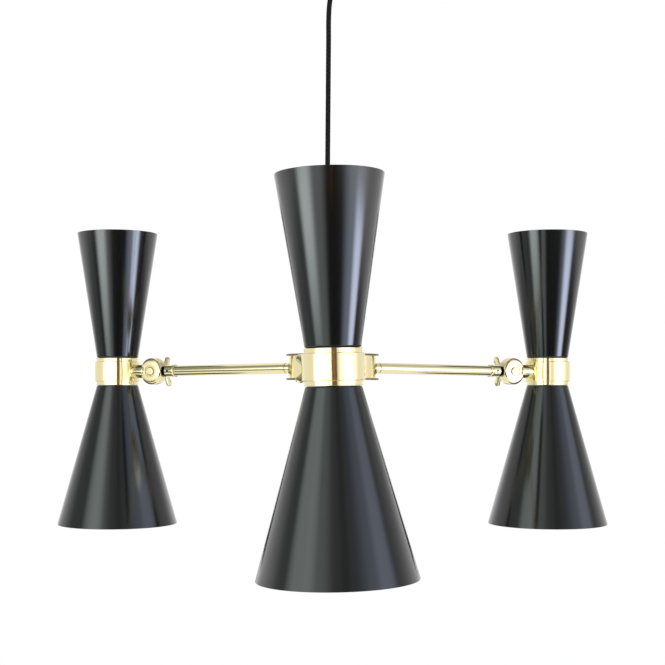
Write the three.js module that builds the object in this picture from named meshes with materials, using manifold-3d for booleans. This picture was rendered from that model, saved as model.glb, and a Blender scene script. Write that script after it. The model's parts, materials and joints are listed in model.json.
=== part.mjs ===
// A hanging chandelier: three double-cone lamps on brass arms round a small drum hub.
// Millimetres, +Z up. The origin is the middle of the ceiling strap's top face.
import * as THREE from "three";
import { mergeVertices } from "three/addons/utils/BufferGeometryUtils.js";
import Module from "manifold-3d";

const wasm = await Module();
wasm.setup();

// Driving sizes
const armReach = 343.4; // hub axis to lamp axis
const lampOffset = 61.4; // swivel pivot to lamp axis
const cordLength = 444; // free cord between the two grips
const collarHeight = 36.9;
const neckRadius = 28.1; // shade where it meets the collar
const upperMouthRadius = 54.7;
const upperShadeHeight = 171.6;
const lowerMouthRadius = 81.6;
const lowerShadeHeight = 190.9;
const tubeRadius = 6.8; // arm tube
const drumRadius = 55.7; // hub drum
const hubHeight = 32.3;
const roseRadius = 58; // ceiling cup
const roseHeight = 36;
const swivelRadius = 18;
const cordRadius = 3.1;

// Clearances
const gap = 0.3; // between two pieces that touch
const overrun = 2; // how far a cutting shape runs past the face that it opens
const weld = 0.0001; // vertices closer than this are one vertex

// Angles in degrees, and counts of flats round a turned piece
const armFall = 0.75; // each side arm drops this much from hub to lamp
const frontFall = 1; // the front arm hangs a little lower
const frontLean = 1.2; // and is screwed in this much past upright
const halfTurn = 180;
const shadeSides = 36;
const wideSides = 36;
const middleSides = 20;
const armSides = 16;
const smallSides = 10;
const hexagon = 6;
const shoulderSteps = 2;
const lobeSteps = 7;

// The threaded tube that runs through lamps and hub
const rodRadius = 5;
const rodBore = 3.4;
const rodHole = rodRadius + gap;

// Shades: spun metal, with a closed neck that the threaded tube clamps
const shadeWall = 1.2;
const neckFloor = 1.5;
const neckRound = 1.5;

// Collar: a turned brass ring between the two shades, thicker in its middle band
const bandRadius = 31.2;
const bandHeight = 26.8;
const lipRadius = 29.2;
const collarBore = 25.6;

// Lampholders, one in each shade's neck
const holderRadius = 19.5;
const holderFoot = 16.5;
const holderTaper = 5;
const holderHeight = 47;
const holderBore = 13.6;
const holderFloor = 12;
const holderThread = 8; // how far the threaded tube goes in
const contactRadius = 4;
const contactHeight = 2;
const wireSlot = 5; // opening in the threaded tube for the wires

// Swivel: two round halves on a bolt, clamped by a wing nut, hollow for the wires
const lampHalfDepth = 6.8;
const lampHalfEdge = 2.6; // straight part of the lamp half's rim
const lampHalfFace = 13.8;
const armHalfDepth = 10;
const armHalfEdge = 6.8;
const armHalfFace = 14.8;
const bossRadius = 8; // spacer on the arm half, under the wing nut
const bossHeight = 13.2;
const swivelRun = 0.6; // clearance that a half turns in
const shankRadius = 5;
const rootOverlap = 8; // how far a shank's root is sunk in its half
const rootFlange = 1.5; // full round of the root, beyond the other half
const armRoot = 6.5;
const sleeveRadius = 9.15; // spacer between swivel and collar
const chamberRadius = 8.6; // room for the wires to pass the bolt
const chamberDepth = 3.4;
const wireBore = 2.6;
const boltRadius = 3;
const boltHeadRadius = 5.6;
const boltHeadHeight = 2.6;
const boltHeadDome = 0.9;
const recessRadius = 8.7;
const recessDepth = 1.6;

// Wing nut
const nutRadius = 6.2;
const nutHeight = 9;
const nutNeck = 1.2;
const boltTipInset = 1.2; // bolt's end below the nut's outer face
const wingThickness = 3;
const wingRoot = 4.6;
const wingFoot = 1;
const wingTop = 7.5;
const lobeRadius = 5.2;
const lobeOut = 15.4; // lobe's centre, out from the bolt's axis
const lobeUp = 10.3; // lobe's centre, along the bolt from the nut's foot
const lobeStart = -50; // the lobe's arc runs between these two angles
const lobeEnd = 145;

// Arm: tube, end ferrule with its set screw, and the stud that screws into the hub
const tubeBore = 5.6;
const ferruleRadius = 7.8;
const ferruleLength = 10.5;
const flangeRadius = 8.6;
const flangeLength = 4;
const flangeRound = 1;
const ferruleSpigot = 12;
const ferruleGap = 6.5; // bare shank between swivel and ferrule
const socketDepth = 9.5;
const setScrewRadius = 1.1;
const setScrewSink = 0.9;
const studNeckRadius = 6.25;
const studNeck = 12.2; // bare neck between drum and tube
const studSpigot = 14;
const studReach = 10; // thread inside the drum

// Hub: drum with three tapped pads, two lids, rod, grip, finial and terminal block
const drumWall = 1.6;
const padRadius = 9;
const padReach = 7;
const lidRadius = 57.9;
const lidThickness = 2.2;
const lidRound = 0.5;
const lidSpigot = 2.4;
const gripRadius = 9;
const gripHeight = 24;
const gripMouth = 4.8;
const gripStep = 6;
const gripThread = 8;
const finialRadius = 8;
const finialHeight = 14;
const finialThread = 7;
const finialNeck = 4;
const finialTip = 3;
const hubBlock = [24, 12, 10];
const hubBlockOut = 30;

// Ceiling rose: cup, strap, two screws, cord grip with its nut, terminal block
const roseWall = 1.2;
const roseFloor = 1.6;
const roseRound = 3;
const roseRimGap = 0.5;
const strapLength = 104;
const strapWidth = 22;
const strapThickness = 3;
const strapSlotOut = 44;
const strapSlotRadius = 2.6;
const roseScrewOut = 31;
const roseScrewRadius = 2;
const roseScrewHead = 4.4;
const roseScrewHeadHeight = 2.6;
const roseScrewDome = 1;
const roseGripHeight = 20;
const gripNutRadius = 9.2;
const gripNutHeight = 5;
const gripTail = 9; // rose grip's thread above the cup's floor
const roseBlock = [30, 14, 13];
const roseBlockOut = 30;

// Heights and reaches that follow from them
const roseFloorZ = -roseHeight;
const roseGripZ = roseFloorZ - gap - roseGripHeight;
const hubTopZ = roseGripZ - gap - cordLength - gap - gripHeight - gap;
const hubZ = hubTopZ - hubHeight / 2;
const pivotReach = armReach - lampOffset;
const ferruleEnd = pivotReach - swivelRadius - ferruleGap;
const ferruleStart = ferruleEnd - ferruleLength;
const tubeEnd = ferruleStart - flangeLength;
const tubeStart = drumRadius + studNeck;
const shadeSeat = collarHeight / 2 + gap;
const holderSeat = shadeSeat + neckFloor + gap;
const nutSeat = armHalfDepth + bossHeight + gap;

// The points that the supply cord hangs through, from the rose down to the hub, a little bowed
const cordRoute = [
  [0, 0, -56.6],
  [0, 0, -63],
  [-1.3, 0, -72],
  [-3.6, 0, -86],
  [-4.7, 0, -102],
  [-4.9, 0, -132],
  [-5.2, 0, -170],
  [-5.5, 0, -210],
  [-5.8, 0, -250],
  [-6.1, 0, -285],
  [-6.4, 0, -320],
  [-6.2, 0, -355],
  [-5.1, 0, -390],
  [-3.4, 0, -420],
  [-1.5, 0, -450],
  [-0.3, 0, -472],
  [0, 0, -488],
  [0, 0, -500.6],
];
const cordSteps = 30;
const cordHalfSides = 5;

// Finishes
const finish = (color, roughness, metalness) =>
  new THREE.MeshStandardMaterial({ color, roughness, metalness });
const blackPaint = finish(0x1b1c1d, 0.42, 0.1);
const brass = finish(0xdcb766, 0.12, 1);
const steel = finish(0xb9bcbf, 0.35, 1);
const moulding = finish(0x1a1917, 0.5, 0);
const terminalPlastic = finish(0xe8e6df, 0.55, 0);
const cordSleeve = finish(0x26221f, 0.8, 0);

// Shape tools: solids for cutting and joining, and the geometry that comes back from them
function solid(geometry) {
  const bare = geometry.index ? geometry.toNonIndexed() : geometry.clone();
  bare.deleteAttribute("normal");
  bare.deleteAttribute("uv");
  const welded = mergeVertices(bare, weld);
  const corners = welded.index.array;
  const triangles = [];
  for (let i = 0; i < corners.length; i += 3) {
    const [a, b, c] = [corners[i], corners[i + 1], corners[i + 2]];
    if (a !== b && b !== c && c !== a) triangles.push(a, b, c);
  }
  return new wasm.Manifold(
    new wasm.Mesh({
      numProp: 3,
      vertProperties: welded.attributes.position.array,
      triVerts: new Uint32Array(triangles),
    }),
  );
}

function shapeOf(made) {
  const mesh = made.getMesh();
  const geometry = new THREE.BufferGeometry();
  geometry.setAttribute("position", new THREE.BufferAttribute(mesh.vertProperties, mesh.numProp));
  geometry.setIndex(new THREE.BufferAttribute(mesh.triVerts, 1));
  const flat = geometry.toNonIndexed();
  flat.computeVertexNormals();
  return flat;
}

// Turns a closed outline of [radius, height] points round Z, or round another axis by name
function turned(outline, sides, axis = "z") {
  const points = outline.map(([radius, height]) => new THREE.Vector2(radius, height));
  if (outline[0][0] !== 0) points.push(points[0].clone());
  if (THREE.ShapeUtils.area(points) < 0) points.reverse();
  const geometry = new THREE.LatheGeometry(points, sides);
  if (axis === "z") geometry.rotateX(Math.PI / 2);
  if (axis === "x") geometry.rotateZ(-Math.PI / 2);
  return geometry;
}

const tube = (inner, outer, low, high) => [
  [inner, low],
  [outer, low],
  [outer, high],
  [inner, high],
];

const bar = (radius, low, high) => [
  [0, low],
  [radius, low],
  [radius, high],
  [0, high],
];

const block = (size, place) => new THREE.BoxGeometry(...size).translate(...place);

function piece(group, name, made, material) {
  const mesh = new THREE.Mesh(made.isBufferGeometry ? made : shapeOf(made), material);
  mesh.name = name;
  group.add(mesh);
}

function group(parent, { position = [0, 0, 0], turn = [0, 0, 0] } = {}) {
  const made = new THREE.Group();
  made.position.set(...position);
  made.rotation.set(...turn.map(THREE.MathUtils.degToRad));
  parent.add(made);
  return made;
}

// Lamp

// A cone of spun metal that opens upwards from its closed neck
function shade(mouthRadius, height) {
  const slopeShare = (mouthRadius - neckRadius) / height;
  return solid(
    turned(
      [
        [rodHole, 0],
        [neckRadius - neckRound, 0],
        [neckRadius, neckRound],
        [mouthRadius, height],
        [mouthRadius - shadeWall, height],
        [neckRadius - shadeWall + neckFloor * slopeShare, neckFloor],
        [rodHole, neckFloor],
      ],
      shadeSides,
    ).translate(0, 0, shadeSeat),
  );
}

// The brass ring, with a tapped hole on the side of the arm
function collar() {
  const ring = turned(
    [
      [collarBore, -collarHeight / 2],
      [lipRadius, -collarHeight / 2],
      [lipRadius, -bandHeight / 2],
      [bandRadius, -bandHeight / 2],
      [bandRadius, bandHeight / 2],
      [lipRadius, bandHeight / 2],
      [lipRadius, collarHeight / 2],
      [collarBore, collarHeight / 2],
    ],
    wideSides,
  );
  const hole = turned(
    bar(shankRadius + gap, -bandRadius - overrun, -collarBore + overrun),
    smallSides,
    "x",
  );
  return solid(ring).subtract(solid(hole));
}

// The hollow threaded tube that pulls both lampholders and both shades against the collar
function lampRod() {
  const half = holderSeat + holderThread - gap;
  const body = turned(tube(rodBore, rodRadius, -half, half), smallSides);
  const slot = block([rodRadius + overrun, wireSlot, wireSlot], [-rodRadius, 0, 0]);
  return solid(body).subtract(solid(slot));
}

function lampholder() {
  return solid(
    turned(
      [
        [0, holderThread],
        [rodHole, holderThread],
        [rodHole, 0],
        [holderFoot, 0],
        [holderRadius, holderTaper],
        [holderRadius, holderHeight],
        [holderBore, holderHeight],
        [holderBore, holderFloor],
        [contactRadius, holderFloor],
        [contactRadius, holderFloor + contactHeight],
        [0, holderFloor + contactHeight],
      ],
      armSides,
    ).translate(0, 0, holderSeat),
  );
}

// Swivel, with its pivot at the origin, the bolt along Y and the lamp towards +X

// A quarter round from the rim of one radius up to a face of another
function shoulder(rimRadius, edge, faceRadius, depth) {
  const points = [];
  for (let step = 0; step <= shoulderSteps; step += 1) {
    const angle = (Math.PI / 2) * (step / shoulderSteps);
    points.push([
      faceRadius + (rimRadius - faceRadius) * Math.cos(angle),
      edge + (depth - edge) * Math.sin(angle),
    ]);
  }
  return points;
}

// A shank on the X axis, with its root sunk in its own half and cut back where the other half turns
function shank(rootRadius, length) {
  const start = swivelRadius - rootOverlap;
  const rootEnd = swivelRadius + swivelRun / 2 + rootFlange;
  const body = turned(
    [
      [0, start],
      [rootRadius, start],
      [rootRadius, rootEnd],
      [shankRadius, rootEnd],
      [shankRadius, length],
      [0, length],
    ],
    armSides,
    "x",
  );
  const sweep = turned(
    bar(swivelRadius + swivelRun / 2, gap / 2, -sleeveRadius - overrun),
    middleSides,
    "y",
  );
  return solid(body).subtract(solid(sweep));
}

// The hollow inside a half: the bolt's hole, the chamber round it and the bore of the shank
function hollowed(half, depth, length) {
  const hole = turned(bar(boltRadius + gap, -overrun, depth + overrun), smallSides, "y");
  const chamber = turned(bar(chamberRadius, -overrun, chamberDepth), armSides, "y");
  const bore = turned(bar(wireBore, 0, length + overrun), smallSides, "x");
  return half.subtract(solid(hole)).subtract(solid(chamber)).subtract(solid(bore));
}

// The arm's half lies on the +Y side, and its shank goes back into the ferrule
function armSwivel() {
  const length = swivelRadius + ferruleGap + socketDepth - gap;
  const half = turned(
    [
      [0, gap / 2],
      [swivelRadius, gap / 2],
      ...shoulder(swivelRadius, armHalfEdge, armHalfFace, armHalfDepth),
      [bossRadius, armHalfDepth],
      [bossRadius, armHalfDepth + bossHeight],
      [0, armHalfDepth + bossHeight],
    ],
    middleSides,
    "y",
  );
  const made = hollowed(
    solid(half).add(shank(armRoot, length)),
    armHalfDepth + bossHeight,
    length,
  );
  return solid(shapeOf(made).rotateY(Math.PI));
}

// The lamp's half lies on the -Y side, and its shank goes through the sleeve into the collar
function lampSwivel() {
  const length = lampOffset - collarBore;
  const half = turned(
    [
      [0, gap / 2],
      [swivelRadius, gap / 2],
      ...shoulder(swivelRadius, lampHalfEdge, lampHalfFace, lampHalfDepth),
      [0, lampHalfDepth],
    ],
    middleSides,
    "y",
  );
  const recess = turned(
    bar(recessRadius, lampHalfDepth - recessDepth, lampHalfDepth + overrun),
    middleSides,
    "y",
  );
  const made = hollowed(
    solid(half).add(shank(sleeveRadius, length)),
    lampHalfDepth,
    length,
  ).subtract(solid(recess));
  return solid(shapeOf(made).rotateX(Math.PI));
}

function pivotBolt() {
  const seat = -(lampHalfDepth - recessDepth + gap);
  const tip = nutSeat + nutHeight - boltTipInset;
  return solid(
    turned(
      [
        [0, seat - boltHeadHeight],
        [boltHeadRadius - boltHeadDome, seat - boltHeadHeight],
        [boltHeadRadius, seat - boltHeadHeight + boltHeadDome],
        [boltHeadRadius, seat],
        [boltRadius, seat],
        [boltRadius, tip],
        [0, tip],
      ],
      armSides,
      "y",
    ),
  );
}

// One wing, flat in the plane of X and Y, with its foot on the nut's barrel
function wing() {
  const outline = new THREE.Shape();
  const [start, end] = [lobeStart, lobeEnd].map(THREE.MathUtils.degToRad);
  outline.moveTo(wingRoot, wingFoot);
  outline.absarc(lobeOut, lobeUp, lobeRadius, start, end, false);
  outline.lineTo(wingRoot, wingTop);
  const geometry = new THREE.ExtrudeGeometry(outline, {
    depth: wingThickness,
    bevelEnabled: false,
    curveSegments: lobeSteps,
  });
  return geometry.translate(0, 0, -wingThickness / 2);
}

// The nut on its seat, with its wings turned by this many degrees from upright
function wingNut(wingTurn) {
  const barrel = turned(
    [
      [0, 0],
      [nutRadius, 0],
      [nutRadius, nutHeight - nutNeck],
      [nutRadius - nutNeck, nutHeight],
      [0, nutHeight],
    ],
    smallSides,
    "y",
  );
  const bore = turned(bar(boltRadius + gap, -overrun, nutHeight + overrun), smallSides, "y");
  const made = solid(barrel)
    .add(solid(wing().rotateY(Math.PI / 2)))
    .add(solid(wing().rotateY(-Math.PI / 2)))
    .subtract(solid(bore));
  const turn = THREE.MathUtils.degToRad(wingTurn);
  return solid(shapeOf(made).rotateY(turn).translate(0, nutSeat, 0));
}

// The spacer between swivel and collar, hollowed to sit on the collar's band
function stemSleeve() {
  const start = swivelRadius + swivelRun / 2 + rootFlange + gap;
  const body = turned(tube(shankRadius + gap, sleeveRadius, start, lampOffset), armSides, "x");
  const band = turned(bar(bandRadius + gap, -sleeveRadius - overrun, sleeveRadius + overrun), wideSides);
  return solid(body).subtract(solid(band.translate(lampOffset, 0, 0)));
}

// Arm, along +X from the hub's axis

const armTube = () =>
  solid(turned(tube(tubeBore, tubeRadius, tubeStart + gap, tubeEnd - gap), armSides, "x"));

const setScrewPlace = (ferruleStart + ferruleEnd) / 2;

function ferrule() {
  const spigotStart = tubeEnd - ferruleSpigot;
  const socketFloor = ferruleEnd - socketDepth;
  const body = turned(
    [
      [wireBore, spigotStart],
      [tubeBore - gap, spigotStart],
      [tubeBore - gap, tubeEnd],
      [flangeRadius - flangeRound, tubeEnd],
      [flangeRadius, tubeEnd + flangeRound],
      [flangeRadius, ferruleStart - flangeRound],
      [ferruleRadius, ferruleStart],
      [ferruleRadius, ferruleEnd],
      [shankRadius + gap, ferruleEnd],
      [shankRadius + gap, socketFloor],
      [wireBore, socketFloor],
    ],
    armSides,
    "x",
  );
  const hole = turned(
    bar(setScrewRadius + gap, -ferruleRadius - overrun, -shankRadius),
    smallSides,
    "y",
  ).translate(setScrewPlace, 0, 0);
  return solid(body).subtract(solid(hole));
}

const setScrew = () =>
  solid(
    turned(
      bar(setScrewRadius, -ferruleRadius + setScrewSink, -shankRadius - gap),
      smallSides,
      "y",
    ).translate(setScrewPlace, 0, 0),
  );

// Hub, with the arms' height at the origin

// The stud is hollowed at its neck to sit on the drum, and its thread goes on through the wall
function armStud(fall) {
  const slant = THREE.MathUtils.degToRad(fall);
  const neck = turned(
    tube(wireBore, studNeckRadius, drumRadius - overrun, tubeStart),
    armSides,
    "x",
  ).rotateY(slant);
  const drum = turned(bar(drumRadius + gap, -hubHeight, hubHeight), wideSides);
  const thread = turned(
    tube(wireBore, rodRadius, drumRadius - studReach, tubeStart),
    armSides,
    "x",
  ).rotateY(slant);
  const spigot = turned(
    tube(wireBore, tubeBore - gap, tubeStart - overrun, tubeStart + studSpigot),
    armSides,
    "x",
  ).rotateY(slant);
  return solid(neck).subtract(solid(drum)).add(solid(thread)).add(solid(spigot));
}

function hubDrum(sides) {
  const half = hubHeight / 2 - lidThickness - gap;
  const outside = solid(turned(bar(drumRadius, -half, half), wideSides));
  let made = solid(turned(tube(drumRadius - drumWall, drumRadius, -half, half), wideSides));
  for (const { azimuth, fall } of sides) {
    const along = (outline) =>
      solid(
        turned(outline, smallSides, "x")
          .rotateY(THREE.MathUtils.degToRad(fall))
          .rotateZ(THREE.MathUtils.degToRad(azimuth)),
      );
    const pad = along(bar(padRadius, drumRadius - padReach, drumRadius));
    const hole = along(bar(rodHole, drumRadius - padReach - overrun, drumRadius + overrun));
    made = made.add(pad.intersect(outside)).subtract(hole);
  }
  return made;
}

function hubLid() {
  const foot = hubHeight / 2 - lidThickness;
  const spigotRadius = drumRadius - drumWall - gap;
  return solid(
    turned(
      [
        [rodHole, foot - lidSpigot],
        [spigotRadius, foot - lidSpigot],
        [spigotRadius, foot],
        [lidRadius, foot],
        [lidRadius, foot + lidThickness - lidRound],
        [lidRadius - lidRound, foot + lidThickness],
        [rodHole, foot + lidThickness],
      ],
      wideSides,
    ),
  );
}

function hubRod() {
  const low = -hubHeight / 2 - finialThread;
  const high = hubHeight / 2 + gripThread;
  return solid(turned(tube(rodBore, rodRadius, low, high), smallSides));
}

// A bell-shaped grip with a tapped foot; the cord comes out of its top
function hubGrip() {
  const foot = hubHeight / 2 + gap;
  return solid(
    turned(
      [
        [0, foot + gripThread],
        [rodHole, foot + gripThread],
        [rodHole, foot],
        [gripRadius, foot],
        [gripRadius, foot + gripStep],
        [gripMouth, foot + gripHeight],
        [0, foot + gripHeight],
      ],
      armSides,
    ),
  );
}

function hubFinial() {
  const top = -hubHeight / 2 - gap;
  return solid(
    turned(
      [
        [0, top - finialThread],
        [rodHole, top - finialThread],
        [rodHole, top],
        [finialRadius, top],
        [finialRadius, top - finialNeck],
        [finialTip, top - finialHeight],
        [0, top - finialHeight],
      ],
      armSides,
    ),
  );
}

function hubTerminal() {
  const seat = -hubHeight / 2 + lidThickness + lidSpigot + gap;
  return solid(block(hubBlock, [0, hubBlockOut, seat + hubBlock[2] / 2]));
}

// Ceiling rose, with the ceiling at the origin

function roseCup() {
  const body = turned(
    [
      [rodHole, roseFloorZ],
      [roseRadius - roseRound, roseFloorZ],
      [roseRadius, roseFloorZ + roseRound],
      [roseRadius, -roseRimGap],
      [roseRadius - roseWall, -roseRimGap],
      [roseRadius - roseWall, roseFloorZ + roseRound],
      [roseRadius - roseWall - roseRound + roseFloor, roseFloorZ + roseFloor],
      [rodHole, roseFloorZ + roseFloor],
    ],
    wideSides,
  );
  let made = solid(body);
  for (const side of [-1, 1]) {
    const hole = turned(
      bar(roseScrewRadius + gap, roseFloorZ - overrun, roseFloorZ + roseFloor + overrun),
      smallSides,
    );
    made = made.subtract(solid(hole.translate(side * roseScrewOut, 0, 0)));
  }
  return made;
}

function ceilingStrap() {
  let made = solid(block([strapLength, strapWidth, strapThickness], [0, 0, -strapThickness / 2]));
  const holes = [
    [roseScrewOut, roseScrewRadius + gap],
    [strapSlotOut, strapSlotRadius],
  ];
  for (const side of [-1, 1]) {
    for (const [out, radius] of holes) {
      const hole = turned(bar(radius, -strapThickness - overrun, overrun), smallSides);
      made = made.subtract(solid(hole.translate(side * out, 0, 0)));
    }
  }
  return made;
}

function roseScrew(side) {
  const seat = roseFloorZ - gap;
  return solid(
    turned(
      [
        [0, seat - roseScrewHeadHeight],
        [roseScrewHead - roseScrewDome, seat - roseScrewHeadHeight],
        [roseScrewHead, seat - roseScrewHeadHeight + roseScrewDome],
        [roseScrewHead, seat],
        [roseScrewRadius, seat],
        [roseScrewRadius, -roseRimGap],
        [0, -roseRimGap],
      ],
      smallSides,
    ).translate(side * roseScrewOut, 0, 0),
  );
}

function roseGrip() {
  const top = roseFloorZ - gap;
  const tail = roseFloorZ + roseFloor + gripTail;
  return solid(
    turned(
      [
        [0, top - roseGripHeight],
        [gripMouth, top - roseGripHeight],
        [gripRadius, top - gripStep],
        [gripRadius, top],
        [rodRadius, top],
        [rodRadius, tail],
        [0, tail],
      ],
      armSides,
    ),
  );
}

function gripNut() {
  const seat = roseFloorZ + roseFloor + gap;
  const outside = turned(bar(gripNutRadius, seat, seat + gripNutHeight), hexagon);
  const hole = turned(bar(rodHole, seat - overrun, seat + gripNutHeight + overrun), smallSides);
  return solid(outside).subtract(solid(hole));
}

function roseTerminal() {
  const seat = roseFloorZ + roseFloor + gap;
  return solid(block(roseBlock, [0, roseBlockOut, seat + roseBlock[2] / 2]));
}

function supplyCord() {
  const route = new THREE.CatmullRomCurve3(cordRoute.map((point) => new THREE.Vector3(...point)));
  const section = new THREE.Shape();
  section.absarc(0, 0, cordRadius, 0, Math.PI * 2, false);
  return solid(
    new THREE.ExtrudeGeometry(section, {
      steps: cordSteps,
      curveSegments: cordHalfSides,
      extrudePath: route,
    }),
  );
}

// Assembly

// Each arm's direction round the hub, which side its wing nut is on, and how the arm and wings lie
const arms = [
  { name: "front", azimuth: -89.86, rolled: true, fall: frontFall, lean: frontLean, wingTurn: 45 },
  { name: "right", azimuth: 30, rolled: false, fall: armFall, lean: 0, wingTurn: -4 },
  { name: "left", azimuth: 150, rolled: true, fall: armFall, lean: 0, wingTurn: -4 },
];

const chandelier = new THREE.Group();

const ceiling = group(chandelier);
piece(ceiling, "ceiling_strap", ceilingStrap(), steel);
piece(ceiling, "rose_cup", roseCup(), brass);
piece(ceiling, "rose_screw_1", roseScrew(-1), brass);
piece(ceiling, "rose_screw_2", roseScrew(1), brass);
piece(ceiling, "rose_cord_grip", roseGrip(), brass);
piece(ceiling, "rose_grip_nut", gripNut(), steel);
piece(ceiling, "rose_terminal_block", roseTerminal(), terminalPlastic);
piece(ceiling, "supply_cord", supplyCord(), cordSleeve);

const pendant = group(chandelier, { position: [0, 0, hubZ] });
piece(pendant, "hub_drum", hubDrum(arms), brass);
piece(pendant, "hub_top_lid", hubLid(), brass);
const underside = group(pendant, { turn: [180, 0, 0] });
piece(underside, "hub_bottom_lid", hubLid(), brass);
piece(pendant, "hub_centre_rod", hubRod(), steel);
piece(pendant, "hub_cord_grip", hubGrip(), brass);
piece(pendant, "hub_finial", hubFinial(), brass);
piece(pendant, "hub_terminal_block", hubTerminal(), terminalPlastic);

for (const { name, azimuth, rolled, fall, lean, wingTurn } of arms) {
  const side = group(pendant, { turn: [0, 0, azimuth] });
  piece(side, `${name}_arm_stud`, armStud(fall), brass);

  const roll = rolled ? halfTurn : 0;
  const arm = group(group(side, { turn: [0, fall, 0] }), { turn: [roll + lean, 0, 0] });
  piece(arm, `${name}_arm_tube`, armTube(), brass);
  piece(arm, `${name}_ferrule`, ferrule(), brass);
  piece(arm, `${name}_set_screw`, setScrew(), steel);

  const pivot = group(arm, { position: [pivotReach, 0, 0] });
  piece(pivot, `${name}_arm_swivel`, armSwivel(), brass);
  piece(pivot, `${name}_wing_nut`, wingNut(wingTurn), brass);

  const tilt = group(pivot, { turn: [0, rolled ? fall : -fall, 0] });
  piece(tilt, `${name}_pivot_bolt`, pivotBolt(), brass);
  piece(tilt, `${name}_lamp_swivel`, lampSwivel(), brass);
  piece(tilt, `${name}_stem_sleeve`, stemSleeve(), brass);

  const lamp = group(group(tilt, { turn: [-roll, 0, 0] }), { position: [lampOffset, 0, 0] });
  piece(lamp, `${name}_collar`, collar(), brass);
  piece(lamp, `${name}_centre_rod`, lampRod(), steel);
  piece(lamp, `${name}_upper_shade`, shade(upperMouthRadius, upperShadeHeight), blackPaint);
  piece(lamp, `${name}_upper_lampholder`, lampholder(), moulding);
  const below = group(lamp, { turn: [halfTurn, 0, 0] });
  piece(below, `${name}_lower_shade`, shade(lowerMouthRadius, lowerShadeHeight), blackPaint);
  piece(below, `${name}_lower_lampholder`, lampholder(), moulding);
}

export default chandelier;
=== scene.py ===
import json
import math

import bmesh
import bpy
from mathutils import Matrix, Vector

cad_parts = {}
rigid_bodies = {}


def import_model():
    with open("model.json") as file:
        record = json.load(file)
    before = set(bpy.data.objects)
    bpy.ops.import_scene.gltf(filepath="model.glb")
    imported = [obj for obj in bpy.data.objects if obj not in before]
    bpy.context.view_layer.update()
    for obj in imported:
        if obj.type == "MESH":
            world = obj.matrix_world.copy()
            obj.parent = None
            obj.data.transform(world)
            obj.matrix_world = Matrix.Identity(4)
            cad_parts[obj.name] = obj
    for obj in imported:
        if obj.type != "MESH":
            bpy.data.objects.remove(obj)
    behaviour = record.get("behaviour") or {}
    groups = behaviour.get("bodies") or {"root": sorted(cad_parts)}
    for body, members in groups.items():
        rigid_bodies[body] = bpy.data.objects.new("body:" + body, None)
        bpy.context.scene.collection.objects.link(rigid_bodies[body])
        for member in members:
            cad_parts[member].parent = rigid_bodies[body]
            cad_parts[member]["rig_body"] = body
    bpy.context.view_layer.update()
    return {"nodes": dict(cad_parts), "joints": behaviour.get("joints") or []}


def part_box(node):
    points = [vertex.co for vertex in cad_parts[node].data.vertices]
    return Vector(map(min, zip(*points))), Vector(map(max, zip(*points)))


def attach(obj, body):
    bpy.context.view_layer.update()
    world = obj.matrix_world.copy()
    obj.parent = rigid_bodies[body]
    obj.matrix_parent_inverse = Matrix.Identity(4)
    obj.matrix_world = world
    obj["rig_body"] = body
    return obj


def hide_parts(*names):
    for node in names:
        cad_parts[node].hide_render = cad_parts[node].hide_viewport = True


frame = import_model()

# Sizes are written in millimetres and made in metres, but for the studio, which is in metres
MM = 0.001
TURN = 2 * math.pi
JOINED = 0.002 * MM  # points nearer than this are one point
SHARP = math.radians(32)  # edges that turn more than this are sharp
UP = Vector((0, 0, 1))

# Sizes that the solids have too
GAP = 0.3
CUP_WALL = 1.6
CUP_SCREW_OFFSET = 31
NECK_FLOOR = 1.5
NECK_RADIUS = 28.1
MOUTH_RADIUS = {"upper": 54.7, "lower": 81.6}
SHADE_HEIGHT = {"upper": 171.6, "lower": 190.9}
SHADE_WALL = 1.2
COLLAR_HALF = 18.45
COLLAR_BORE = 25.6
BAND_RADIUS = 31.2
BAND_HALF = 13.4
ROD_HOLE = 5.3
LAMP_OFFSET = 61.4
SHANK_RADIUS = 5
SWIVEL_RADIUS = 18
SWIVEL_RUN = 0.3
BOLT_RADIUS = 3
BOLT_TIP = 31.3
BOSS_RADIUS = 8
BOSS_TOP = 23.2
STEM_RADIUS = 9.15
ARM_ROOT_RADIUS = 6.5
ARM_ROOT_LENGTH = 6.5
FERRULE_LENGTH = 10.5
BEAD_LENGTH = 4
TAIL_RADIUS = 5.3
WIRE_BORE = 2.6
TUBE_BORE = 5.6
TUBE_RADIUS = 6.8
STUD_HEAD_RADIUS = 6.25
STUD_HEAD_START = 56
STUD_HEAD_END = 67.9
DRUM_RADIUS = 55.7
DRUM_BORE = 54.1
HUB_HALF = 16.15
LID_FOOT = HUB_HALF - 2.2

LAMPS = ("front", "right", "left")
WING_TURNS = {"front": 45, "right": -4, "left": -4}

joints = {joint["name"]: joint for joint in frame["joints"]}
hub_low, hub_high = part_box("hub_drum")
hub_centre = (hub_low + hub_high) / 2
cup_low, cup_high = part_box("rose_cup")
CUP_HEIGHT = -cup_low.z / MM
CUP_RADIUS = (cup_high.x - cup_low.x) / 2 / MM


# Camera and cord come first

CAMERA_DISTANCE = 1621.5 * MM
CAMERA_DROP = 23.85 * MM  # below the middle of the hub
LENS = 70.14
SENSOR = 36
HORIZON_SHIFT = 0.0807

camera_data = bpy.data.cameras.new("camera")
camera_data.lens = LENS
camera_data.sensor_width = SENSOR
camera_data.shift_y = HORIZON_SHIFT
camera = bpy.data.objects.new("camera", camera_data)
camera.location = (0, -CAMERA_DISTANCE, hub_centre.z - CAMERA_DROP)
camera.rotation_euler = (math.pi / 2, 0, 0)
bpy.context.scene.collection.objects.link(camera)
bpy.context.scene.camera = camera


# Shader maths

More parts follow.
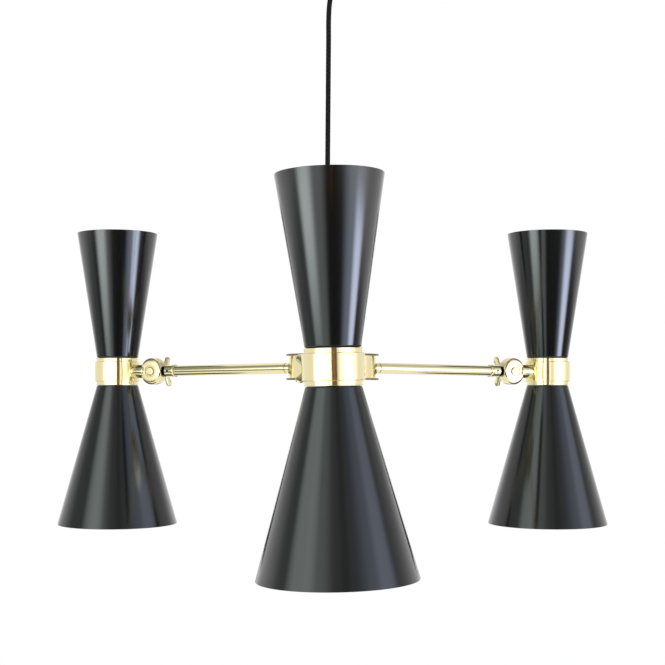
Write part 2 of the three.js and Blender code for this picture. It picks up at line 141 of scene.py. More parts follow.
class Value:
    """A socket that adds, subtracts and multiplies as a number does."""

    def __init__(self, shader, socket):
        self.shader = shader
        self.socket = socket

    def math(self, operation, *others):
        numbers = dict(enumerate((self, *others)))
        return self.shader.node("ShaderNodeMath", {"operation": operation}, numbers)

    def __add__(self, other):
        return self.math("ADD", other)

    __radd__ = __add__

    def __mul__(self, other):
        return self.math("MULTIPLY", other)

    __rmul__ = __mul__

    def __sub__(self, other):
        return self.math("SUBTRACT", other)

    def __rsub__(self, other):
        return (self * -1) + other

    def smooth_step(self, low, high):
        """0 below low, 1 above high and smooth between them."""
        limits = {"Value": self, "From Min": low, "From Max": high}
        return self.shader.node("ShaderNodeMapRange", {"interpolation_type": "SMOOTHSTEP"}, limits)


class Shader:
    """The node tree of a material or world, with one method that makes a node."""

    def __init__(self, owner):
        owner.use_nodes = True
        self.tree = owner.node_tree
        self.tree.nodes.clear()

    def node(self, kind, settings=None, sockets=None, output=0):
        """Settings come first, then values or links, for sockets by their name or number."""
        made = self.tree.nodes.new(kind)
        for name, setting in (settings or {}).items():
            setattr(made, name, setting)
        for name, value in (sockets or {}).items():
            if isinstance(value, Value):
                self.tree.links.new(value.socket, made.inputs[name])
            else:
                made.inputs[name].default_value = value
        return Value(self, made.outputs[output]) if made.outputs else None

    def place(self):
        return self.node("ShaderNodeTexCoord", output="Object")

    def axes(self, place):
        return [self.node("ShaderNodeSeparateXYZ", sockets={0: place}, output=axis) for axis in "XYZ"]

    def ray(self, kind):
        return self.node("ShaderNodeLightPath", output=f"Is {kind} Ray")

    def noise(self, scale, detail):
        sockets = {"Vector": self.place(), "Scale": scale, "Detail": detail}
        return self.node("ShaderNodeTexNoise", sockets=sockets)

    def bump(self, height, strength, distance):
        sockets = {"Height": height, "Strength": strength, "Distance": distance}
        return self.node("ShaderNodeBump", sockets=sockets)

    def mix(self, factor, first, second):
        """Two colours mixed."""
        sockets = {0: factor, 6: first, 7: second}
        return self.node("ShaderNodeMix", {"data_type": "RGBA"}, sockets, output=2)

    def light(self, color, strength):
        return self.node("ShaderNodeEmission", sockets={"Color": color, "Strength": strength})

    def blend(self, factor, first, second):
        """Two surfaces or backgrounds mixed."""
        return self.node("ShaderNodeMixShader", sockets={0: factor, 1: first, 2: second})

    def output(self, surface, owner="Material"):
        self.node(f"ShaderNodeOutput{owner}", sockets={"Surface": surface})

    def finish(self, sockets):
        self.output(self.node("ShaderNodeBsdfPrincipled", sockets=sockets))


def new_material(name):
    made = bpy.data.materials.new(name)
    return made, Shader(made)


def polished_brass():
    """Lacquered brass: faint clouds in the polish, and colour that deepens a little in them."""
    made, shader = new_material("polished_brass")
    clouds = shader.noise(38, detail=3)
    wipe = shader.noise(520, detail=2)
    shader.finish({
        "Base Color": shader.mix(clouds, (0.90, 0.80, 0.49, 1), (0.87, 0.76, 0.43, 1)),
        "Metallic": 1.0,
        "Roughness": 0.11 + clouds * 0.03 + wipe * 0.01,
        "Normal": shader.bump(shader.noise(900, detail=1), 0.02, 0.0002),
    })
    return made


def painted_shade_brass(name, first, second):
    """Darker, rougher brass for painted shade: on the lids' rims, in the swivel's recess, on the bare
    shank and in the set screw's hole.
    """
    made, shader = new_material(name)
    clouds = shader.noise(420, detail=3)
    shader.finish({
        "Base Color": shader.mix(clouds, first, second),
        "Metallic": 1.0,
        "Roughness": 0.32 + clouds * 0.12,
    })
    return made


def black_paint():
    """Satin black paint with a very fine orange peel."""
    made, shader = new_material("black_paint")
    clouds = shader.noise(24, detail=3)
    peel = shader.noise(1400, detail=2)
    shader.finish({
        "Base Color": shader.mix(clouds, (0.0025, 0.0027, 0.0026, 1), (0.0034, 0.0036, 0.0035, 1)),
        "Roughness": 0.12 + clouds * 0.03 + peel * 0.02,
        "Specular IOR Level": 1.0,
        "Normal": shader.bump(peel, 0.05, 0.0002),
    })
    return made


def plated_steel():
    """Zinc on steel, with the mottling of the bath."""
    made, shader = new_material("plated_steel")
    clouds = shader.noise(180, detail=4)
    shader.finish({
        "Base Color": shader.mix(clouds, (0.56, 0.57, 0.58, 1), (0.68, 0.68, 0.69, 1)),
        "Metallic": 1.0,
        "Roughness": 0.28 + clouds * 0.16,
    })
    return made


def black_moulding():
    """The matt black moulding of the lampholders."""
    made, shader = new_material("black_moulding")
    grain = shader.noise(900, detail=3)
    shader.finish({
        "Base Color": shader.mix(grain, (0.018, 0.017, 0.016, 1), (0.026, 0.025, 0.024, 1)),
        "Roughness": 0.42 + grain * 0.1,
        "Normal": shader.bump(grain, 0.08, 0.0002),
    })
    return made


def terminal_plastic():
    """The pale plastic of the terminal blocks."""
    made, shader = new_material("terminal_plastic")
    grain = shader.noise(600, detail=2)
    shader.finish({
        "Base Color": shader.mix(grain, (0.72, 0.71, 0.67, 1), (0.78, 0.77, 0.73, 1)),
        "Roughness": 0.5 + grain * 0.08,
    })
    return made


def cord_sleeve():
    """Black braid: two sets of strands that run round the cord both ways and cross."""
    made, shader = new_material("cord_sleeve")
    strands = 12
    pitch = 5.2 * MM
    x, y, z = shader.axes(shader.place())
    around = y.math("ARCTAN2", x) * strands
    along = z * (TURN / pitch)
    right_hand = (around + along).math("SINE")
    left_hand = (around - along).math("SINE")
    height = right_hand.math("MAXIMUM", left_hand).smooth_step(-0.4, 1.0)
    fuzz = shader.noise(2600, detail=3)
    # Painted shade: the braid is darker in the grooves between strands and lighter on their crowns, with
    # random fuzz on top
    crease_shade_and_fuzz = height * 0.75 + fuzz * 0.25
    shader.finish({
        "Base Color": shader.mix(crease_shade_and_fuzz, (0.006, 0.006, 0.006, 1), (0.024, 0.022, 0.021, 1)),
        "Roughness": 0.72 + fuzz * 0.2,
        "Specular IOR Level": 0.15,
        "Normal": shader.bump(height + fuzz * 0.2, 0.6, 0.0003),
    })
    return made


BRASS = polished_brass()
# Painted shade: a dark line on the hub lids' rims
LID_RIM_SHADE = painted_shade_brass("painted_shade_brass", (0.30, 0.26, 0.17, 1), (0.22, 0.19, 0.12, 1))
# Painted shade: a darker brass in the recess round each bolt's head
RECESS_SHADE_BRASS = painted_shade_brass("recess_painted_shade", (0.80, 0.70, 0.43, 1), (0.72, 0.62, 0.37, 1))
# Near black: the set screw's own black oxide, and painted shade on the shank's gap and in the set
# screw's hole
BLACK_OXIDE_AND_SHADE = painted_shade_brass("black_oxide_and_painted_shade", (0.020, 0.015, 0.008, 1), (0.012, 0.009, 0.005, 1))
PAINT = black_paint()
STEEL = plated_steel()
MOULDING = black_moulding()
TERMINAL = terminal_plastic()
SLEEVE = cord_sleeve()


# Making a piece

AXIS_TURNS = {
    "X": Matrix.Rotation(math.pi / 2, 4, "Y"),
    "Y": Matrix.Rotation(-math.pi / 2, 4, "X"),
}


def turned(outline, steps=96, axis="Z"):
    """A shape spun round an axis from (radius, height) points; an outline off the axis is closed."""
    shape = bmesh.new()
    points = [shape.verts.new((radius * MM, 0, height * MM)) for radius, height in outline]
    ring = points if outline[0][0] == 0 else [*points, points[0]]
    edges = [shape.edges.new(pair) for pair in zip(ring, ring[1:])]
    bmesh.ops.spin(
        shape,
        geom=[*points, *edges],
        cent=(0, 0, 0),
        axis=(0, 0, 1),
        dvec=(0, 0, 0),
        angle=TURN,
        steps=steps,
        use_merge=True,
    )
    bmesh.ops.remove_doubles(shape, verts=shape.verts, dist=JOINED)
    bmesh.ops.recalc_face_normals(shape, faces=shape.faces)
    if axis in AXIS_TURNS:
        bmesh.ops.transform(shape, matrix=AXIS_TURNS[axis], verts=shape.verts)
    return shape


def bar(radius, low, high):
    return [(0, low), (radius, low), (radius, high), (0, high)]


def tube(inner, outer, low, high):
    return [(inner, low), (outer, low), (outer, high), (inner, high)]


def arc(start, end, centre, steps=6):
    """Points of a quarter round between two points, about a centre."""
    start, end, centre = Vector(start), Vector(end), Vector(centre)
    first, last = start - centre, end - centre
    points = []
    for step in range(steps + 1):
        angle = math.pi / 2 * step / steps
        points.append(tuple(centre + first * math.cos(angle) + last * math.sin(angle)))
    return points


def moved(shape, x=0, y=0, z=0):
    bmesh.ops.translate(shape, vec=(x * MM, y * MM, z * MM), verts=shape.verts)
    return shape


def placed(shape, matrix):
    bmesh.ops.transform(shape, matrix=matrix, verts=shape.verts)
    return shape


def temporary(shape):
    mesh = bpy.data.meshes.new("temporary")
    shape.to_mesh(mesh)
    shape.free()
    made = bpy.data.objects.new("temporary", mesh)
    bpy.context.scene.collection.objects.link(made)
    return made


def combined(first, second, operation):
    """Two shapes joined or cut into one."""
    base, tool = temporary(first), temporary(second)
    modifier = base.modifiers.new("combine", "BOOLEAN")
    modifier.operation = operation
    modifier.solver = "EXACT"
    modifier.object = tool
    bpy.context.view_layer.update()
    result = base.evaluated_get(bpy.context.evaluated_depsgraph_get())
    shape = bmesh.new()
    shape.from_mesh(result.to_mesh())
    result.to_mesh_clear()
    for leftover in (base, tool):
        mesh = leftover.data
        bpy.data.objects.remove(leftover)
        bpy.data.meshes.remove(mesh)
    bmesh.ops.remove_doubles(shape, verts=shape.verts, dist=JOINED)
    return shape


def joined(first, second):
    return combined(first, second, "UNION")


def cut(first, second):
    return combined(first, second, "DIFFERENCE")


def marked(shape, test):
    """Gives the faces whose middle, in millimetres, passes a test the piece's second material."""
    for face in shape.faces:
        if test(face.calc_center_median() / MM):
            face.material_index = 1
    return shape


def linked_object(name, shape, *materials):
    """An object at the origin, with the shape as its mesh."""
    mesh = bpy.data.meshes.new(name)
    shape.to_mesh(mesh)
    shape.free()
    for material in materials:
        mesh.materials.append(material)
    made = bpy.data.objects.new(name, mesh)
    bpy.context.scene.collection.objects.link(made)
    return made


def piece(node, shape, place, material, slot, edge=0.25, segments=2, second=None):
    """Puts a shape in its place as an object that stands for a node, with softened edges."""
    placed(shape, place)
    for face in shape.faces:
        face.smooth = True
    materials = (material, second) if second else (material,)
    made = linked_object(f"{node}_finished", shape, *materials)
    made.data.set_sharp_from_angle(angle=SHARP)
    if edge:
        bevel = made.modifiers.new("soft edges", "BEVEL")
        bevel.width = edge * MM
        bevel.segments = segments
        bevel.limit_method = "ANGLE"
        bevel.angle_limit = SHARP
        bevel.harden_normals = True
        bevel.use_clamp_overlap = True
    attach(made, frame["nodes"][node]["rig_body"])
    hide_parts(node)
    return made


def brass_piece(node, shape, place, **finish):
    return piece(node, shape, place, BRASS, "polished_brass", **finish)


def frame_at(origin, along, side):
    """A place whose X runs along one direction and whose Y points to one side."""
    along = along.normalized()
    upright = along.cross(side).normalized()
    side = upright.cross(along)
    columns = (along, side, upright)
    return Matrix.Translation(origin) @ Matrix(columns).transposed().to_4x4()


# Ceiling rose

def rose_cup():
    """A spun cup, closed below but for the cord's hole and two screw holes."""
    bore = CUP_RADIUS - 1.2
    foot = -CUP_HEIGHT
    flat = CUP_RADIUS - 3
    round_top = foot + 3
    rim = -0.5
    outline = [
        (ROD_HOLE, foot),
        *arc((flat, foot), (CUP_RADIUS, round_top), (flat, round_top), 8),
        (CUP_RADIUS, rim),
        (bore, rim),
        (bore, round_top),
        (CUP_RADIUS - 2.6, foot + CUP_WALL),
        (ROD_HOLE, foot + CUP_WALL),
    ]
    shell = turned(outline, steps=160)
    for side in (-1, 1):
        hole = turned(bar(2.3, foot - 2, foot + 4), steps=32)
        shell = cut(shell, moved(hole, x=side * CUP_SCREW_OFFSET))
    brass_piece("rose_cup", shell, Matrix.Identity(4), edge=0.15)


def rose_grip():
    """The tapered grip under the cup, with its thread up through the hole."""
    top = -CUP_HEIGHT - GAP
    thread_end = -CUP_HEIGHT + CUP_WALL + 9
    outline = [
        (0, top - 20),
        (4.8, top - 20),
        *arc((4.8, top - 19.6), (8.7, top - 6.3), (8.9, top - 20), 10)[1:-1],
        (9, top - 6),
        (9, top),
        (SHANK_RADIUS, top),
        (SHANK_RADIUS, thread_end),
        (0, thread_end),
    ]
    return brass_piece("rose_cord_grip", turned(outline, steps=96), Matrix.Identity(4), edge=0.2)


def rose_screw(number, side):
    """A raised head with a slot, on a plain shank."""
    seat = -CUP_HEIGHT - GAP
    head = 2.6
    outline = [
        (0, seat - head),
        *arc((2.6, seat - 2.5), (4.4, seat - 0.9), (2.6, seat - 0.9), 5),
        (4.4, seat),
        (2, seat),
        (2, -0.5),
        (0, -0.5),
    ]
    slot_cut = bmesh.new()
    slot_size = Matrix.Diagonal((12 * MM, 0.9 * MM, 2.4 * MM, 1))
    bmesh.ops.create_cube(slot_cut, size=1, matrix=slot_size)
    screw = cut(turned(outline, steps=48), moved(slot_cut, z=seat - head))
    spot = Matrix.Translation((side * CUP_SCREW_OFFSET * MM, 0, 0))
    place = spot @ Matrix.Rotation(math.radians(24 * side), 4, "Z")
    brass_piece(f"rose_screw_{number}", screw, place, edge=0.1)


rose_cup()
rose_cord_grip = rose_grip()
rose_screw(1, -1)
rose_screw(2, 1)


# Cord

CORD_DIAMETER = 6.2 * MM
CORD_ROUTE = (
    (0, 0, -500.6),
    (0, 0, -488),
    (-0.3, 0, -472),
    (-1.5, 0, -450),
    (-3.4, 0, -420),
    (-5.1, 0, -390),
    (-6.2, 0, -355),
    (-6.4, 0, -320),
    (-6.1, 0, -285),
    (-5.8, 0, -250),
    (-5.5, 0, -210),
    (-5.2, 0, -170),
    (-4.9, 0, -132),
    (-4.7, 0, -102),
    (-3.6, 0, -86),
    (-1.3, 0, -72),
    (0, 0, -63),
    (0, 0, -56.6),
)


def supply_cord():
    """One braided cord from the hub's grip up to the rose's, with the slight bow it hangs in."""
    curve = bpy.data.curves.new("supply_cord_braided", "CURVE")
    curve.dimensions = "3D"
    curve.bevel_depth = CORD_DIAMETER / 2
    curve.bevel_resolution = 8
    curve.use_fill_caps = True
    spline = curve.splines.new("BEZIER")
    spline.bezier_points.add(len(CORD_ROUTE) - 1)
    for point, place in zip(spline.bezier_points, CORD_ROUTE):
        point.co = Vector(place) * MM
        point.handle_left_type = point.handle_right_type = "AUTO"
    curve.materials.append(SLEEVE)
    cord = bpy.data.objects.new("supply_cord_braided", curve)
    bpy.context.scene.collection.objects.link(cord)
    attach(cord, "pendant")
    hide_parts("supply_cord")


supply_cord()


# Lamps

class Places:
    """Where a lamp's pieces go: along its arm, on its pivot and round its own axis."""

    def __init__(self, lamp):
        tilt = joints[f"{lamp}_lamp_tilt"]
        nut_side = Vector(joints[f"{lamp}_wing_nut_turn"]["axis"])
        axis = Vector(tilt["axis"])
        pivot = Vector(tilt["pos_m"])
        reach = pivot - hub_centre
        fall = math.asin(-reach.z / reach.length)
        outward = Matrix.Rotation(-fall, 3, axis) @ reach.normalized()
        self.reach = reach.length / MM
        self.hub = frame_at(hub_centre, reach, nut_side)
        self.arm = frame_at(pivot, reach, nut_side)
        self.pivot = frame_at(pivot, outward, nut_side)
        self.lamp = frame_at(pivot + outward * (LAMP_OFFSET * MM), outward, axis)


def collar(lamp, place):
    """The ring between the shades: a raised band between two lips."""
    lip = 29.2
    outline = [
        (COLLAR_BORE, -COLLAR_HALF),
        (lip, -COLLAR_HALF),
        (lip, -BAND_HALF),
        (BAND_RADIUS, -BAND_HALF),
        (BAND_RADIUS, BAND_HALF),
        (lip, BAND_HALF),
        (lip, COLLAR_HALF),
        (COLLAR_BORE, COLLAR_HALF),
    ]
    brass_piece(f"{lamp}_collar", turned(outline, steps=160), place, edge=0.35, segments=3)


def shade(lamp, which, place):
    """A spun cone with its neck at the origin and its mouth up."""
    mouth = MOUTH_RADIUS[which]
    height = SHADE_HEIGHT[which]
    neck_round = 2.2
    lip_round = 0.2
    slope = (mouth - NECK_RADIUS) / height
    corner = (NECK_RADIUS - neck_round, neck_round)
    outline = [
        (ROD_HOLE, 0),
        *arc((NECK_RADIUS - neck_round, 0), (NECK_RADIUS + neck_round * slope, neck_round), corner),
        (mouth, height - 0.25),
        (mouth - lip_round, height),
        (mouth - SHADE_WALL + lip_round, height),
        (mouth - SHADE_WALL, height - 0.25),
        (NECK_RADIUS - SHADE_WALL + NECK_FLOOR * slope, NECK_FLOOR),
        (ROD_HOLE, NECK_FLOOR),
    ]
    piece(f"{lamp}_{which}_shade", turned(outline, steps=160), place, PAINT, "black_paint", edge=0)


def lampholder(lamp, which, place):
    """A moulded holder with a stepped skirt, a deep socket and a centre contact."""
    outline = [
        (0, 8),
        (ROD_HOLE, 8),
        (ROD_HOLE, 0),
        (16.5, 0),
        (19.5, 5),
        (19.5, 24),
        (18.6, 24.6),
        (18.6, 45.5),
        (17.6, 47),
        (14.8, 47),
        (13.6, 45.6),
        (13.6, 12),
        (4, 12),
        (4, 14),
        (0, 14),
    ]
    shape = turned(outline, steps=64)
    piece(f"{lamp}_{which}_lampholder", shape, place, MOULDING, "black_moulding", edge=0.3)


def lamp_head(lamp, places):
    """Collar, then a shade and its lampholder above and below."""
    collar(lamp, places.lamp)
    shade_seat = COLLAR_HALF + GAP
    holder_seat = shade_seat + NECK_FLOOR + GAP
    for which, turn in (("upper", 0), ("lower", math.pi)):
        upright = places.lamp @ Matrix.Rotation(turn, 4, "X")
        shade(lamp, which, upright @ Matrix.Translation((0, 0, shade_seat * MM)))
        lampholder(lamp, which, upright @ Matrix.Translation((0, 0, holder_seat * MM)))


# Swivels

def swivel_half(depth, edge, face, root_radius, length, boss=()):
    """One half of a swivel with its shank towards +X, lying on the +Y side of the pivot."""
    outline = [
        (0, GAP / 2),
        (SWIVEL_RADIUS, GAP / 2),
        *arc((SWIVEL_RADIUS, edge), (face, depth), (face, edge)),
        *boss,
    ]
    if not boss:
        outline.append((0, depth))
    disc = turned(outline, steps=96, axis="Y")
    root_round = 3
    root_start = 10
    round_end = root_start + root_round
    root_end = SWIVEL_RADIUS + SWIVEL_RUN + 1.5
    flat = root_radius - root_round
    shank = turned(
        [
            (0, root_start),
            (flat, root_start),
            *arc((flat, root_start), (root_radius, round_end), (flat, round_end)),
            (root_radius, root_end),
            (SHANK_RADIUS, root_end),
            (SHANK_RADIUS, length),
            (0, length),
        ],
        steps=64,
        axis="X",
    )
    other_half = turned(bar(SWIVEL_RADIUS + SWIVEL_RUN, -14, GAP / 2), steps=96, axis="Y")
    return joined(disc, cut(shank, other_half))


def lamp_swivel(lamp, places):
    """The lamp's half, with a stepped recess for the bolt's head, whose faces are painted darker as
    painted shade.
    """
    length = LAMP_OFFSET - COLLAR_BORE
    half = swivel_half(depth=6.8, edge=2.6, face=13.8, root_radius=STEM_RADIUS, length=length)
    half = placed(half, Matrix.Rotation(math.pi, 4, "X"))
    recess_radius, ledge_radius = 8.7, 5.9
    outline = [
        (0, -8.8),
        (recess_radius, -8.8),
        (recess_radius, -6.1),
        (ledge_radius, -6.1),
        (ledge_radius, -5.2),
        (0, -5.2),
    ]

    def in_shaded_recess(middle):
        return math.hypot(middle.x, middle.z) < recess_radius + 0.05 and -6.75 < middle.y < -5

    # Faces inside the recess get the darker brass: painted shade in the recess
    half = marked(cut(half, turned(outline, steps=64, axis="Y")), in_shaded_recess)
    brass_piece(f"{lamp}_lamp_swivel", half, places.pivot, edge=0.3, segments=3, second=RECESS_SHADE_BRASS)


def arm_swivel(lamp, places):
    """The arm's half, with the boss that the wing nut sits on; the shank past the disc is painted near
    black, as painted shade in the gap before the ferrule.
    """
    depth = 10
    boss = ((BOSS_RADIUS, depth), (BOSS_RADIUS, BOSS_TOP), (0, BOSS_TOP))
    length = SWIVEL_RADIUS + ARM_ROOT_LENGTH + 9.2
    half = swivel_half(depth, edge=6.8, face=14.8, root_radius=ARM_ROOT_RADIUS, length=length, boss=boss)
    # The shank past the disc gets near black: painted shade in the gap between swivel and ferrule
    half = marked(half, lambda middle: middle.x > SWIVEL_RADIUS + 0.1)
    half = placed(half, Matrix.Rotation(math.pi, 4, "Y"))
    brass_piece(f"{lamp}_arm_swivel", half, places.arm, edge=0.3, segments=3, second=BLACK_OXIDE_AND_SHADE)


def pivot_bolt(lamp, places):
    """A bolt with a low round head."""
    outline = [
        (0, -8.1),
        (3.6, -8.0),
        *arc((4.7, -8.0), (5.6, -7.1), (4.7, -7.1), 4),
        (5.6, -5.5),
        (BOLT_RADIUS, -5.5),
        (BOLT_RADIUS, BOLT_TIP),
        (0, BOLT_TIP),
    ]
    brass_piece(f"{lamp}_pivot_bolt", turned(outline, steps=64, axis="Y"), places.pivot, edge=0.2)


def wing(side):
    """One flared wing of a nut, bridged from rings of points through its rounded thickness."""
    lobe_out, lobe_up, lobe_radius = 15.4, 10.3, 5.2
    root_out, root_low, root_high = 3.6, 0.8, 7.8
    edge_round = 1.2
    flat_half = 0.3
    shape = bmesh.new()
    rings = []
    for face, angles in ((-1, (-90, -60, -30, 0)), (1, (0, 30, 60, 90))):
        for angle in map(math.radians, angles):
            across = face * flat_half + edge_round * math.sin(angle)
            inset = edge_round * (1 - math.cos(angle))
            radius = lobe_radius - inset
            points = [(root_out, root_low + inset)]
            for step in range(25):
                bearing = math.radians(-50 + 195 * step / 24)
                out = lobe_out + radius * math.cos(bearing)
                points.append((out, lobe_up + radius * math.sin(bearing)))
            points.append((root_out, root_high - inset))
            places = [Vector((across, up, side * out)) * MM for out, up in points]
            corners = [shape.verts.new(place) for place in places]
            rings.append([shape.edges.new(pair) for pair in zip(corners, [*corners[1:], corners[0]])])
    for first, second in zip(rings, rings[1:]):
        bmesh.ops.bridge_loops(shape, edges=[*first, *second])
    for ring in (rings[0], rings[-1]):
        bmesh.ops.edgeloop_fill(shape, edges=ring)
    bmesh.ops.recalc_face_normals(shape, faces=shape.faces)
    return shape


def wing_nut(lamp, places):
    """A forged nut: a round barrel with two flared wings, bored for the bolt."""
    nut = turned([(0, 0), (6.6, 0), (6.2, 7.8), (5.0, 9), (0, 9)], steps=64, axis="Y")
    for side in (1, -1):
        nut = joined(nut, wing(side))
    nut = cut(nut, turned(bar(BOLT_RADIUS + GAP, -2, 11), steps=48, axis="Y"))
    seat = Matrix.Translation((0, (BOSS_TOP + GAP) * MM, 0))
    nut = placed(nut, Matrix.Rotation(math.radians(WING_TURNS[lamp]), 4, "Y") @ seat)
    brass_piece(f"{lamp}_wing_nut", nut, places.arm, edge=0.2)


def stem_sleeve(lamp, places):
    """The spacer between swivel and collar, with a saddle that fits the collar's band."""
    stem = turned(tube(ROD_HOLE, STEM_RADIUS, 20.1, LAMP_OFFSET), steps=96, axis="X")
    saddle = BAND_RADIUS + GAP
    for vert in stem.verts:
        if vert.co.x > (LAMP_OFFSET - 1) * MM:
            vert.co.x = LAMP_OFFSET * MM - math.sqrt((saddle * MM) ** 2 - vert.co.y ** 2)
    brass_piece(f"{lamp}_stem_sleeve", stem, places.pivot, edge=0.2)


# Arms

def ferrule(lamp, places, start, end):
    """The arm's end piece: a tail in the tube, a rounded bead and a sleeve for the swivel's shank."""
    bead = start - BEAD_LENGTH
    body, swell, neck = 7.8, 8.6, 7.2
    bead_round = 1.6
    outline = [
        (WIRE_BORE, bead - 12),
        (TAIL_RADIUS, bead - 12),
        (TAIL_RADIUS, bead),
        (neck, bead),
        *arc((neck, bead), (swell, bead + bead_round), (neck, bead + bead_round), 5),
        *arc((swell, start - bead_round), (body, start), (body, start - bead_round), 5),
        (body, end),
        (ROD_HOLE, end),
        (ROD_HOLE, end - 9.5),
        (WIRE_BORE, end - 9.5),
    ]
    hole_reach = (start + end) / 2
    hole_radius = 1.6
    hole = turned(bar(hole_radius, -10, -5), steps=32, axis="Y")

    def in_shaded_screw_hole(middle):
        from_axis = math.hypot(middle.x - hole_reach, middle.z)
        return from_axis < hole_radius + 0.05 and middle.y < 0

    shape = cut(turned(outline, steps=96, axis="X"), moved(hole, x=hole_reach))
    # The walls of the set screw's hole are painted near black: painted shade in the hole
    shape = marked(shape, in_shaded_screw_hole)
    brass_piece(f"{lamp}_ferrule", shape, places.hub, edge=0.25, second=BLACK_OXIDE_AND_SHADE)


def set_screw(lamp, places, reach):
    """A blacked grub screw with a six-sided socket."""
    screw = turned(bar(1.1, -6.9, -5.3), steps=32, axis="Y")
    socket = turned(bar(0.6, -8, -6.2), steps=6, axis="Y")
    screw = moved(cut(screw, socket), x=reach)
    piece(f"{lamp}_set_screw", screw, places.hub, BLACK_OXIDE_AND_SHADE, "plated_steel", edge=0)


def arm_stud(lamp, places):
    """The hollow stud from the hub into the arm, with a head that fits the drum's round wall."""
    thread_start = 45.7
    outline = [
        (WIRE_BORE, thread_start),
        (SHANK_RADIUS, thread_start),
        (SHANK_RADIUS, STUD_HEAD_START),
        (STUD_HEAD_RADIUS, STUD_HEAD_START),
        (STUD_HEAD_RADIUS, STUD_HEAD_END),
        (TAIL_RADIUS, STUD_HEAD_END),
        (TAIL_RADIUS, STUD_HEAD_END + 14),
        (WIRE_BORE, STUD_HEAD_END + 14),
    ]
    stud = turned(outline, steps=96, axis="X")
    for vert in stud.verts:
        if abs(vert.co.x - STUD_HEAD_START * MM) < 0.1 * MM:
            vert.co.x = math.sqrt((STUD_HEAD_START * MM) ** 2 - vert.co.y ** 2)
    brass_piece(f"{lamp}_arm_stud", stud, places.hub, edge=0.2)


def arm(lamp, places):
    """Ferrule, set screw, tube and stud, from the swivel in to the hub."""
    ferrule_end = places.reach - SWIVEL_RADIUS - ARM_ROOT_LENGTH
    ferrule_start = ferrule_end - FERRULE_LENGTH
    ferrule(lamp, places, ferrule_start, ferrule_end)
    set_screw(lamp, places, (ferrule_start + ferrule_end) / 2)
    tube_end = ferrule_start - BEAD_LENGTH - GAP
    rod = turned(tube(TUBE_BORE, TUBE_RADIUS, STUD_HEAD_END + GAP, tube_end), steps=96, axis="X")
    brass_piece(f"{lamp}_arm_tube", rod, places.hub, edge=0.25)
    arm_stud(lamp, places)


for lamp in LAMPS:
    lamp_places = Places(lamp)
    lamp_head(lamp, lamp_places)
    lamp_swivel(lamp, lamp_places)
    arm_swivel(lamp, lamp_places)
    pivot_bolt(lamp, lamp_places)
    wing_nut(lamp, lamp_places)
    stem_sleeve(lamp, lamp_places)
    arm(lamp, lamp_places)


# Hub

def hub_drum(place):
    """A plain ring with a hole for each arm's stud."""
    wall = turned(tube(DRUM_BORE, DRUM_RADIUS, -LID_FOOT + GAP, LID_FOOT - GAP), steps=192)
    for lamp in LAMPS:
        pivot = Vector(joints[f"{lamp}_lamp_tilt"]["pos_m"])
        along = frame_at(Vector(), pivot - hub_centre, UP)
        hole = turned(bar(ROD_HOLE, 45, 60), steps=48, axis="X")
        wall = cut(wall, placed(hole, along))
    brass_piece("hub_drum", wall, place, edge=0.15)


def hub_lid(node, place):
    """A flat lid whose rim stands a little proud of the drum, with painted shade, a dark line, on the
    rim.
    """
    rim = 57.9
    step = 53.8
    outline = [
        (ROD_HOLE, LID_FOOT - 2.4),
        (step, LID_FOOT - 2.4),
        (step, LID_FOOT),
        (rim - 0.5, LID_FOOT),
        *arc((rim - 0.5, LID_FOOT), (rim, LID_FOOT + 0.5), (rim - 0.5, LID_FOOT + 0.5), 3),
        *arc((rim, HUB_HALF - 0.6), (rim - 0.6, HUB_HALF), (rim - 0.6, HUB_HALF - 0.6), 4),
        (ROD_HOLE, HUB_HALF),
    ]
    # The rim's faces get dark brass: a painted shadow line along the lid's edge
    plate = marked(turned(outline, steps=192), lambda middle: middle.xy.length > rim - 0.9)
    brass_piece(node, plate, place, edge=0, second=LID_RIM_SHADE)


def hub_grip(place):
    """The tapered grip on top of the hub that holds the cord."""
    foot = HUB_HALF + GAP
    outline = [
        (0, HUB_HALF + 8.3),
        (ROD_HOLE, HUB_HALF + 8.3),
        (ROD_HOLE, foot),
        (8.6, foot),
        (9, HUB_HALF + 0.7),
        (9, HUB_HALF + 6),
        *arc((8.7, HUB_HALF + 6.3), (4.8, HUB_HALF + 23.9), (8.9, HUB_HALF + 24.3), 10)[1:-1],
        (4.8, HUB_HALF + 24.3),
        (0, HUB_HALF + 24.3),
    ]
    brass_piece("hub_cord_grip", turned(outline, steps=96), place, edge=0.2)


def hub_finial(place):
    """A domed nut under the hub."""
    radius = 8
    dome_top = -HUB_HALF - 4.3
    outline = [
        (0, -HUB_HALF - 7.3),
        (ROD_HOLE, -HUB_HALF - 7.3),
        (ROD_HOLE, -HUB_HALF - GAP),
        (radius, -HUB_HALF - GAP),
        (radius, dome_top),
        *arc((radius, dome_top), (0, dome_top - 10), (0, dome_top), 10)[1:],
    ]
    brass_piece("hub_finial", turned(outline, steps=96), place, edge=0.2)


hub_place = Matrix.Translation(hub_centre)
hub_drum(hub_place)
hub_lid("hub_top_lid", hub_place)
hub_lid("hub_bottom_lid", hub_place @ Matrix.Rotation(math.pi, 4, "X"))
hub_grip(hub_place)
hub_finial(hub_place)


# Solids that stay as they are, with their finishes

def dress(nodes, material):
    for node in nodes:
        materials = frame["nodes"][node].data.materials
        materials.clear()
        materials.append(material)


dress(["ceiling_strap", "rose_grip_nut", "hub_centre_rod"], STEEL)
dress([f"{lamp}_centre_rod" for lamp in LAMPS], STEEL)
dress(["rose_terminal_block", "hub_terminal_block"], TERMINAL)


# Studio, in metres and degrees

FLOOR = -1.9
FLOOR_SIZE = 4
WHITE = (1, 1, 1, 1)
GREENISH = (0.93, 1.03, 1.01, 1)


